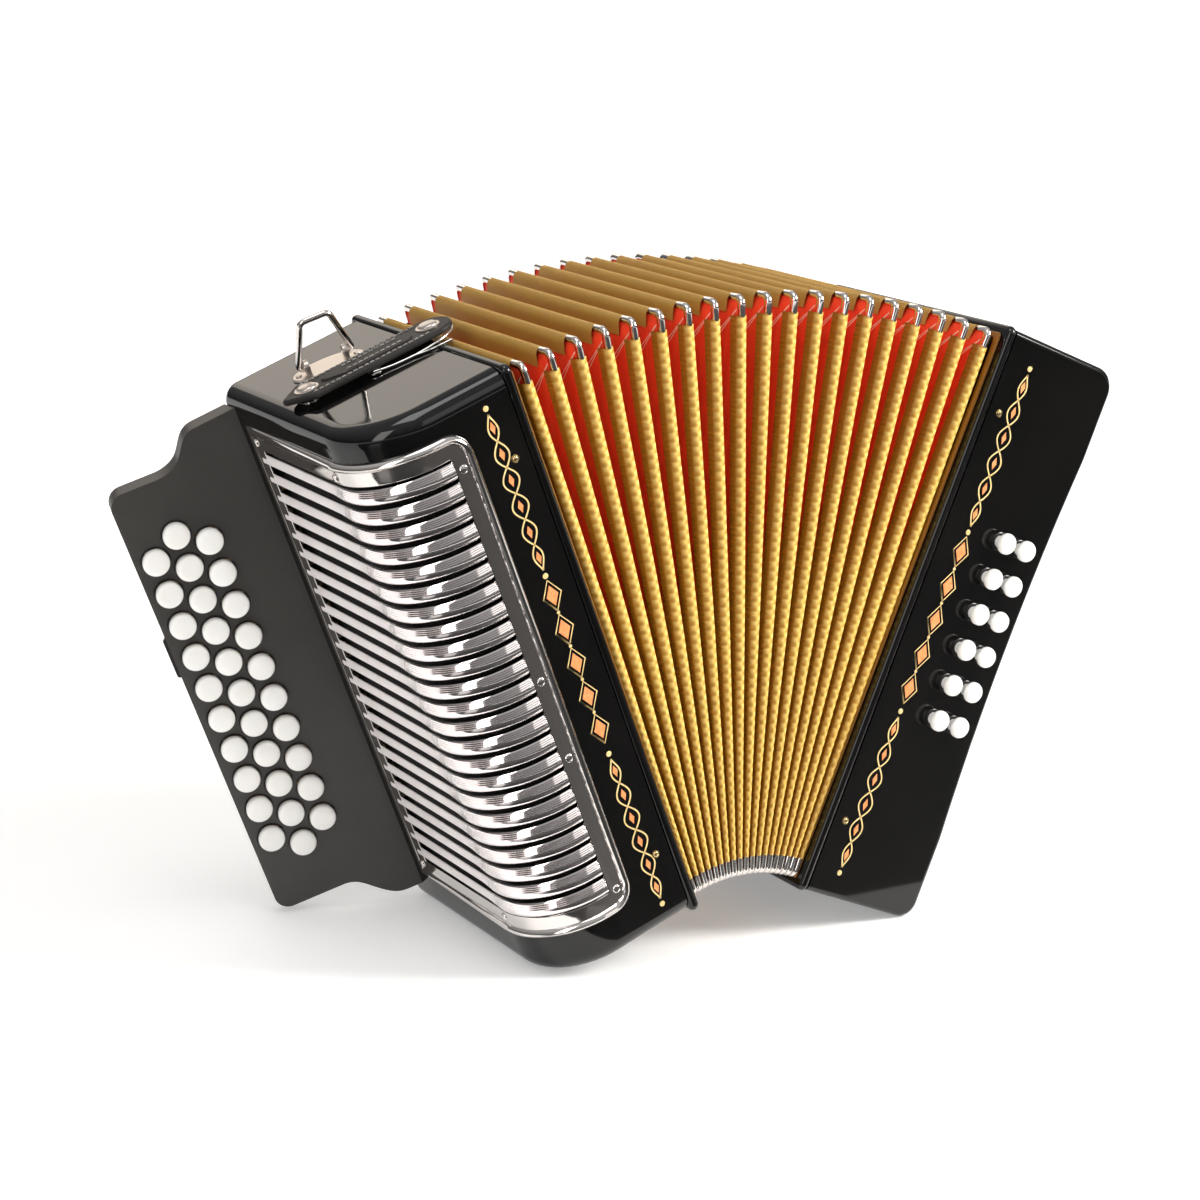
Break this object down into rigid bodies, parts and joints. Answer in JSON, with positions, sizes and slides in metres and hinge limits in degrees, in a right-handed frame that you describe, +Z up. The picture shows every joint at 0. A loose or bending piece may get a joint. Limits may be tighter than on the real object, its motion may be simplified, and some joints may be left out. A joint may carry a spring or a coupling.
{
  "type": "button accordion",
  "caption": "Three-row button accordion with a fanned bellows, chrome grille, domed treble buttons and bass buttons; bellows, keys, buttons, bails and strap move.",
  "frame": {"origin": "middle of the whole instrument's footprint, on the level that its two cases stand on", "axes": "+X from the treble side to the bass side, +Y from the decorated front to the player's side, +Z up"},
  "size_m": [0.4998, 0.2026, 0.3407],
  "materials": {
    "black_lacquer": "gloss",
    "board_satin": "satin",
    "chrome": "polished",
    "dust_cloth": "woven",
    "soundboard_wood": "satin",
    "reed_blocks": "satin",
    "key_ivory": "gloss",
    "bass_ivory": "gloss",
    "bellows": "woven",
    "black_leather": "grained",
    "rubber": "matte"
  },
  "bodies": {
    "treble_side": {"treble_case": "black_lacquer", "fingerboard": "board_satin", "grille": "chrome", "grille_cloth": "dust_cloth", "treble_soundboard": "soundboard_wood", "treble_reed_blocks": "reed_blocks", "thumb_strap": "black_leather"},
    "bellows_middle": {"bellows_treble_half": "bellows"},
    "bass_side": {"bellows_bass_half": "bellows", "bass_case": "black_lacquer", "bass_reed_blocks": "reed_blocks", "rubber_feet": "rubber", "bass_strap": "black_leather"},
    "bail_top": {"strap_bail_top": "chrome"},
    "bail_bottom": {"strap_bail_bottom": "chrome"},
    "bellows_strap": {"bellows_strap": "black_leather"},
    "air_button": {"air_button": "bass_ivory"},
    "treble_key_inner_01": {"treble_key_inner_01": "key_ivory"},
    "treble_key_inner_02": {"treble_key_inner_02": "key_ivory"},
    "treble_key_inner_03": {"treble_key_inner_03": "key_ivory"},
    "treble_key_inner_04": {"treble_key_inner_04": "key_ivory"},
    "treble_key_inner_05": {"treble_key_inner_05": "key_ivory"},
    "treble_key_inner_06": {"treble_key_inner_06": "key_ivory"},
    "treble_key_inner_07": {"treble_key_inner_07": "key_ivory"},
    "treble_key_inner_08": {"treble_key_inner_08": "key_ivory"},
    "treble_key_inner_09": {"treble_key_inner_09": "key_ivory"},
    "treble_key_inner_10": {"treble_key_inner_10": "key_ivory"},
    "treble_key_middle_01": {"treble_key_middle_01": "key_ivory"},
    "treble_key_middle_02": {"treble_key_middle_02": "key_ivory"},
    "treble_key_middle_03": {"treble_key_middle_03": "key_ivory"},
    "treble_key_middle_04": {"treble_key_middle_04": "key_ivory"},
    "treble_key_middle_05": {"treble_key_middle_05": "key_ivory"},
    "treble_key_middle_06": {"treble_key_middle_06": "key_ivory"},
    "treble_key_middle_07": {"treble_key_middle_07": "key_ivory"},
    "treble_key_middle_08": {"treble_key_middle_08": "key_ivory"},
    "treble_key_middle_09": {"treble_key_middle_09": "key_ivory"},
    "treble_key_middle_10": {"treble_key_middle_10": "key_ivory"},
    "treble_key_middle_11": {"treble_key_middle_11": "key_ivory"},
    "treble_key_outer_01": {"treble_key_outer_01": "key_ivory"},
    "treble_key_outer_02": {"treble_key_outer_02": "key_ivory"},
    "treble_key_outer_03": {"treble_key_outer_03": "key_ivory"},
    "treble_key_outer_04": {"treble_key_outer_04": "key_ivory"},
    "treble_key_outer_05": {"treble_key_outer_05": "key_ivory"},
    "treble_key_outer_06": {"treble_key_outer_06": "key_ivory"},
    "treble_key_outer_07": {"treble_key_outer_07": "key_ivory"},
    "treble_key_outer_08": {"treble_key_outer_08": "key_ivory"},
    "treble_key_outer_09": {"treble_key_outer_09": "key_ivory"},
    "treble_key_outer_10": {"treble_key_outer_10": "key_ivory"},
    "bass_button_inner_1": {"bass_button_inner_1": "bass_ivory"},
    "bass_button_inner_2": {"bass_button_inner_2": "bass_ivory"},
    "bass_button_inner_3": {"bass_button_inner_3": "bass_ivory"},
    "bass_button_inner_4": {"bass_button_inner_4": "bass_ivory"},
    "bass_button_inner_5": {"bass_button_inner_5": "bass_ivory"},
    "bass_button_inner_6": {"bass_button_inner_6": "bass_ivory"},
    "bass_button_outer_1": {"bass_button_outer_1": "bass_ivory"},
    "bass_button_outer_2": {"bass_button_outer_2": "bass_ivory"},
    "bass_button_outer_3": {"bass_button_outer_3": "bass_ivory"},
    "bass_button_outer_4": {"bass_button_outer_4": "bass_ivory"},
    "bass_button_outer_5": {"bass_button_outer_5": "bass_ivory"},
    "bass_button_outer_6": {"bass_button_outer_6": "bass_ivory"}
  },
  "joints": [
    {"name": "bellows_fan", "type": "hinge", "parent": "treble_side", "child": "bellows_middle", "pos_m": [0.01455, -0.01235, 0.03357], "axis": [0, 1, 0], "range_deg": [-23.17, 9], "deforming": ["bellows_treble_half"]},
    {"name": "bellows_fan_bass", "type": "hinge", "parent": "bellows_middle", "child": "bass_side", "pos_m": [0.04528, -0.01235, 0.03291], "axis": [0, 1, 0], "range_deg": [-20.86, 8.11], "deforming": ["bellows_bass_half"]},
    {"name": "bail_top_swing", "type": "hinge", "parent": "treble_side", "child": "bail_top", "pos_m": [-0.15712, 0.01766, 0.3052], "axis": [0.9066, -0.225, 0.3571], "range_deg": [-105, 45]},
    {"name": "bail_bottom_swing", "type": "hinge", "parent": "treble_side", "child": "bail_bottom", "pos_m": [-0.04057, 0.01766, 0.00933], "axis": [0.9066, -0.225, 0.3571], "range_deg": [0, 165]},
    {"name": "bellows_strap_lift", "type": "hinge", "parent": "treble_side", "child": "bellows_strap", "pos_m": [-0.19375, -0.01035, 0.28906], "axis": [0, -1, 0], "range_deg": [0, 75]},
    {"name": "air_button_press", "type": "slide", "parent": "bass_side", "child": "air_button", "axis": [-0.9219, 0, 0.3875], "range_m": [0, 0.004], "stiffness_N_per_m": 350, "springref_m": -0.0015},
    {"name": "press_bass_inner_1", "type": "slide", "parent": "bass_side", "child": "bass_button_inner_1", "axis": [0, 1, 0], "range_m": [0, 0.004], "stiffness_N_per_m": 350, "springref_m": -0.0015},
    {"name": "press_bass_inner_2", "type": "slide", "parent": "bass_side", "child": "bass_button_inner_2", "axis": [0, 1, 0], "range_m": [0, 0.004], "stiffness_N_per_m": 350, "springref_m": -0.0015},
    {"name": "press_bass_inner_3", "type": "slide", "parent": "bass_side", "child": "bass_button_inner_3", "axis": [0, 1, 0], "range_m": [0, 0.004], "stiffness_N_per_m": 350, "springref_m": -0.0015},
    {"name": "press_bass_inner_4", "type": "slide", "parent": "bass_side", "child": "bass_button_inner_4", "axis": [0, 1, 0], "range_m": [0, 0.004], "stiffness_N_per_m": 350, "springref_m": -0.0015},
    {"name": "press_bass_inner_5", "type": "slide", "parent": "bass_side", "child": "bass_button_inner_5", "axis": [0, 1, 0], "range_m": [0, 0.004], "stiffness_N_per_m": 350, "springref_m": -0.0015},
    {"name": "press_bass_inner_6", "type": "slide", "parent": "bass_side", "child": "bass_button_inner_6", "axis": [0, 1, 0], "range_m": [0, 0.004], "stiffness_N_per_m": 350, "springref_m": -0.0015},
    {"name": "press_bass_outer_1", "type": "slide", "parent": "bass_side", "child": "bass_button_outer_1", "axis": [0, 1, 0], "range_m": [0, 0.004], "stiffness_N_per_m": 350, "springref_m": -0.0015},
    {"name": "press_bass_outer_2", "type": "slide", "parent": "bass_side", "child": "bass_button_outer_2", "axis": [0, 1, 0], "range_m": [0, 0.004], "stiffness_N_per_m": 350, "springref_m": -0.0015},
    {"name": "press_bass_outer_3", "type": "slide", "parent": "bass_side", "child": "bass_button_outer_3", "axis": [0, 1, 0], "range_m": [0, 0.004], "stiffness_N_per_m": 350, "springref_m": -0.0015},
    {"name": "press_bass_outer_4", "type": "slide", "parent": "bass_side", "child": "bass_button_outer_4", "axis": [0, 1, 0], "range_m": [0, 0.004], "stiffness_N_per_m": 350, "springref_m": -0.0015},
    {"name": "press_bass_outer_5", "type": "slide", "parent": "bass_side", "child": "bass_button_outer_5", "axis": [0, 1, 0], "range_m": [0, 0.004], "stiffness_N_per_m": 350, "springref_m": -0.0015},
    {"name": "press_bass_outer_6", "type": "slide", "parent": "bass_side", "child": "bass_button_outer_6", "axis": [0, 1, 0], "range_m": [0, 0.004], "stiffness_N_per_m": 350, "springref_m": -0.0015},
    {"name": "press_treble_inner_01", "type": "hinge", "parent": "treble_side", "child": "treble_key_inner_01", "pos_m": [-0.0934, 0.05039, 0.06978], "axis": [0.3665, 0, -0.9304], "range_deg": [0, 3.3], "stiffness_Nm_per_rad": 0.6, "springref_deg": -6.88},
    {"name": "press_treble_inner_02", "type": "hinge", "parent": "treble_side", "child": "treble_key_inner_02", "pos_m": [-0.10021, 0.05039, 0.08708], "axis": [0.3665, 0, -0.9304], "range_deg": [0, 3.3], "stiffness_Nm_per_rad": 0.6, "springref_deg": -6.88},
    {"name": "press_treble_inner_03", "type": "hinge", "parent": "treble_side", "child": "treble_key_inner_03", "pos_m": [-0.10703, 0.05039, 0.10439], "axis": [0.3665, 0, -0.9304], "range_deg": [0, 3.3], "stiffness_Nm_per_rad": 0.6, "springref_deg": -6.88},
    {"name": "press_treble_inner_04", "type": "hinge", "parent": "treble_side", "child": "treble_key_inner_04", "pos_m": [-0.11385, 0.05039, 0.12169], "axis": [0.3665, 0, -0.9304], "range_deg": [0, 3.3], "stiffness_Nm_per_rad": 0.6, "springref_deg": -6.88},
    {"name": "press_treble_inner_05", "type": "hinge", "parent": "treble_side", "child": "treble_key_inner_05", "pos_m": [-0.12066, 0.05039, 0.139], "axis": [0.3665, 0, -0.9304], "range_deg": [0, 3.3], "stiffness_Nm_per_rad": 0.6, "springref_deg": -6.88},
    {"name": "press_treble_inner_06", "type": "hinge", "parent": "treble_side", "child": "treble_key_inner_06", "pos_m": [-0.12748, 0.05039, 0.1563], "axis": [0.3665, 0, -0.9304], "range_deg": [0, 3.3], "stiffness_Nm_per_rad": 0.6, "springref_deg": -6.88},
    {"name": "press_treble_inner_07", "type": "hinge", "parent": "treble_side", "child": "treble_key_inner_07", "pos_m": [-0.1343, 0.05039, 0.17361], "axis": [0.3665, 0, -0.9304], "range_deg": [0, 3.3], "stiffness_Nm_per_rad": 0.6, "springref_deg": -6.88},
    {"name": "press_treble_inner_08", "type": "hinge", "parent": "treble_side", "child": "treble_key_inner_08", "pos_m": [-0.14112, 0.05039, 0.19092], "axis": [0.3665, 0, -0.9304], "range_deg": [0, 3.3], "stiffness_Nm_per_rad": 0.6, "springref_deg": -6.88},
    {"name": "press_treble_inner_09", "type": "hinge", "parent": "treble_side", "child": "treble_key_inner_09", "pos_m": [-0.14793, 0.05039, 0.20822], "axis": [0.3665, 0, -0.9304], "range_deg": [0, 3.3], "stiffness_Nm_per_rad": 0.6, "springref_deg": -6.88},
    {"name": "press_treble_inner_10", "type": "hinge", "parent": "treble_side", "child": "treble_key_inner_10", "pos_m": [-0.15475, 0.05039, 0.22553], "axis": [0.3665, 0, -0.9304], "range_deg": [0, 3.3], "stiffness_Nm_per_rad": 0.6, "springref_deg": -6.88},
    {"name": "press_treble_middle_01", "type": "hinge", "parent": "treble_side", "child": "treble_key_middle_01", "pos_m": [-0.09116, 0.05039, 0.0641], "axis": [0.3665, 0, -0.9304], "range_deg": [0, 2.59], "stiffness_Nm_per_rad": 0.6, "springref_deg": -6.88},
    {"name": "press_treble_middle_02", "type": "hinge", "parent": "treble_side", "child": "treble_key_middle_02", "pos_m": [-0.09798, 0.05039, 0.08141], "axis": [0.3665, 0, -0.9304], "range_deg": [0, 2.59], "stiffness_Nm_per_rad": 0.6, "springref_deg": -6.88},
    {"name": "press_treble_middle_03", "type": "hinge", "parent": "treble_side", "child": "treble_key_middle_03", "pos_m": [-0.1048, 0.05039, 0.09871], "axis": [0.3665, 0, -0.9304], "range_deg": [0, 2.59], "stiffness_Nm_per_rad": 0.6, "springref_deg": -6.88},
    {"name": "press_treble_middle_04", "type": "hinge", "parent": "treble_side", "child": "treble_key_middle_04", "pos_m": [-0.11161, 0.05039, 0.11602], "axis": [0.3665, 0, -0.9304], "range_deg": [0, 2.59], "stiffness_Nm_per_rad": 0.6, "springref_deg": -6.88},
    {"name": "press_treble_middle_05", "type": "hinge", "parent": "treble_side", "child": "treble_key_middle_05", "pos_m": [-0.11843, 0.05039, 0.13332], "axis": [0.3665, 0, -0.9304], "range_deg": [0, 2.59], "stiffness_Nm_per_rad": 0.6, "springref_deg": -6.88},
    {"name": "press_treble_middle_06", "type": "hinge", "parent": "treble_side", "child": "treble_key_middle_06", "pos_m": [-0.12525, 0.05039, 0.15063], "axis": [0.3665, 0, -0.9304], "range_deg": [0, 2.59], "stiffness_Nm_per_rad": 0.6, "springref_deg": -6.88},
    {"name": "press_treble_middle_07", "type": "hinge", "parent": "treble_side", "child": "treble_key_middle_07", "pos_m": [-0.13206, 0.05039, 0.16793], "axis": [0.3665, 0, -0.9304], "range_deg": [0, 2.59], "stiffness_Nm_per_rad": 0.6, "springref_deg": -6.88},
    {"name": "press_treble_middle_08", "type": "hinge", "parent": "treble_side", "child": "treble_key_middle_08", "pos_m": [-0.13888, 0.05039, 0.18524], "axis": [0.3665, 0, -0.9304], "range_deg": [0, 2.59], "stiffness_Nm_per_rad": 0.6, "springref_deg": -6.88},
    {"name": "press_treble_middle_09", "type": "hinge", "parent": "treble_side", "child": "treble_key_middle_09", "pos_m": [-0.1457, 0.05039, 0.20255], "axis": [0.3665, 0, -0.9304], "range_deg": [0, 2.59], "stiffness_Nm_per_rad": 0.6, "springref_deg": -6.88},
    {"name": "press_treble_middle_10", "type": "hinge", "parent": "treble_side", "child": "treble_key_middle_10", "pos_m": [-0.15251, 0.05039, 0.21985], "axis": [0.3665, 0, -0.9304], "range_deg": [0, 2.59], "stiffness_Nm_per_rad": 0.6, "springref_deg": -6.88},
    {"name": "press_treble_middle_11", "type": "hinge", "parent": "treble_side", "child": "treble_key_middle_11", "pos_m": [-0.15933, 0.05039, 0.23716], "axis": [0.3665, 0, -0.9304], "range_deg": [0, 2.59], "stiffness_Nm_per_rad": 0.6, "springref_deg": -6.88},
    {"name": "press_treble_outer_01", "type": "hinge", "parent": "treble_side", "child": "treble_key_outer_01", "pos_m": [-0.09574, 0.05039, 0.07573], "axis": [0.3665, 0, -0.9304], "range_deg": [0, 2.13], "stiffness_Nm_per_rad": 0.6, "springref_deg": -6.88},
    {"name": "press_treble_outer_02", "type": "hinge", "parent": "treble_side", "child": "treble_key_outer_02", "pos_m": [-0.10256, 0.05039, 0.09304], "axis": [0.3665, 0, -0.9304], "range_deg": [0, 2.13], "stiffness_Nm_per_rad": 0.6, "springref_deg": -6.88},
    {"name": "press_treble_outer_03", "type": "hinge", "parent": "treble_side", "child": "treble_key_outer_03", "pos_m": [-0.10938, 0.05039, 0.11034], "axis": [0.3665, 0, -0.9304], "range_deg": [0, 2.13], "stiffness_Nm_per_rad": 0.6, "springref_deg": -6.88},
    {"name": "press_treble_outer_04", "type": "hinge", "parent": "treble_side", "child": "treble_key_outer_04", "pos_m": [-0.11619, 0.05039, 0.12765], "axis": [0.3665, 0, -0.9304], "range_deg": [0, 2.13], "stiffness_Nm_per_rad": 0.6, "springref_deg": -6.88},
    {"name": "press_treble_outer_05", "type": "hinge", "parent": "treble_side", "child": "treble_key_outer_05", "pos_m": [-0.12301, 0.05039, 0.14495], "axis": [0.3665, 0, -0.9304], "range_deg": [0, 2.13], "stiffness_Nm_per_rad": 0.6, "springref_deg": -6.88},
    {"name": "press_treble_outer_06", "type": "hinge", "parent": "treble_side", "child": "treble_key_outer_06", "pos_m": [-0.12983, 0.05039, 0.16226], "axis": [0.3665, 0, -0.9304], "range_deg": [0, 2.13], "stiffness_Nm_per_rad": 0.6, "springref_deg": -6.88},
    {"name": "press_treble_outer_07", "type": "hinge", "parent": "treble_side", "child": "treble_key_outer_07", "pos_m": [-0.13664, 0.05039, 0.17956], "axis": [0.3665, 0, -0.9304], "range_deg": [0, 2.13], "stiffness_Nm_per_rad": 0.6, "springref_deg": -6.88},
    {"name": "press_treble_outer_08", "type": "hinge", "parent": "treble_side", "child": "treble_key_outer_08", "pos_m": [-0.14346, 0.05039, 0.19687], "axis": [0.3665, 0, -0.9304], "range_deg": [0, 2.13], "stiffness_Nm_per_rad": 0.6, "springref_deg": -6.88},
    {"name": "press_treble_outer_09", "type": "hinge", "parent": "treble_side", "child": "treble_key_outer_09", "pos_m": [-0.15028, 0.05039, 0.21418], "axis": [0.3665, 0, -0.9304], "range_deg": [0, 2.13], "stiffness_Nm_per_rad": 0.6, "springref_deg": -6.88},
    {"name": "press_treble_outer_10", "type": "hinge", "parent": "treble_side", "child": "treble_key_outer_10", "pos_m": [-0.1571, 0.05039, 0.23148], "axis": [0.3665, 0, -0.9304], "range_deg": [0, 2.13], "stiffness_Nm_per_rad": 0.6, "springref_deg": -6.88}
  ],
  "couplings": [
    {"joint": "bellows_fan_bass", "follows": "bellows_fan", "ratio": 0.9}
  ]
}
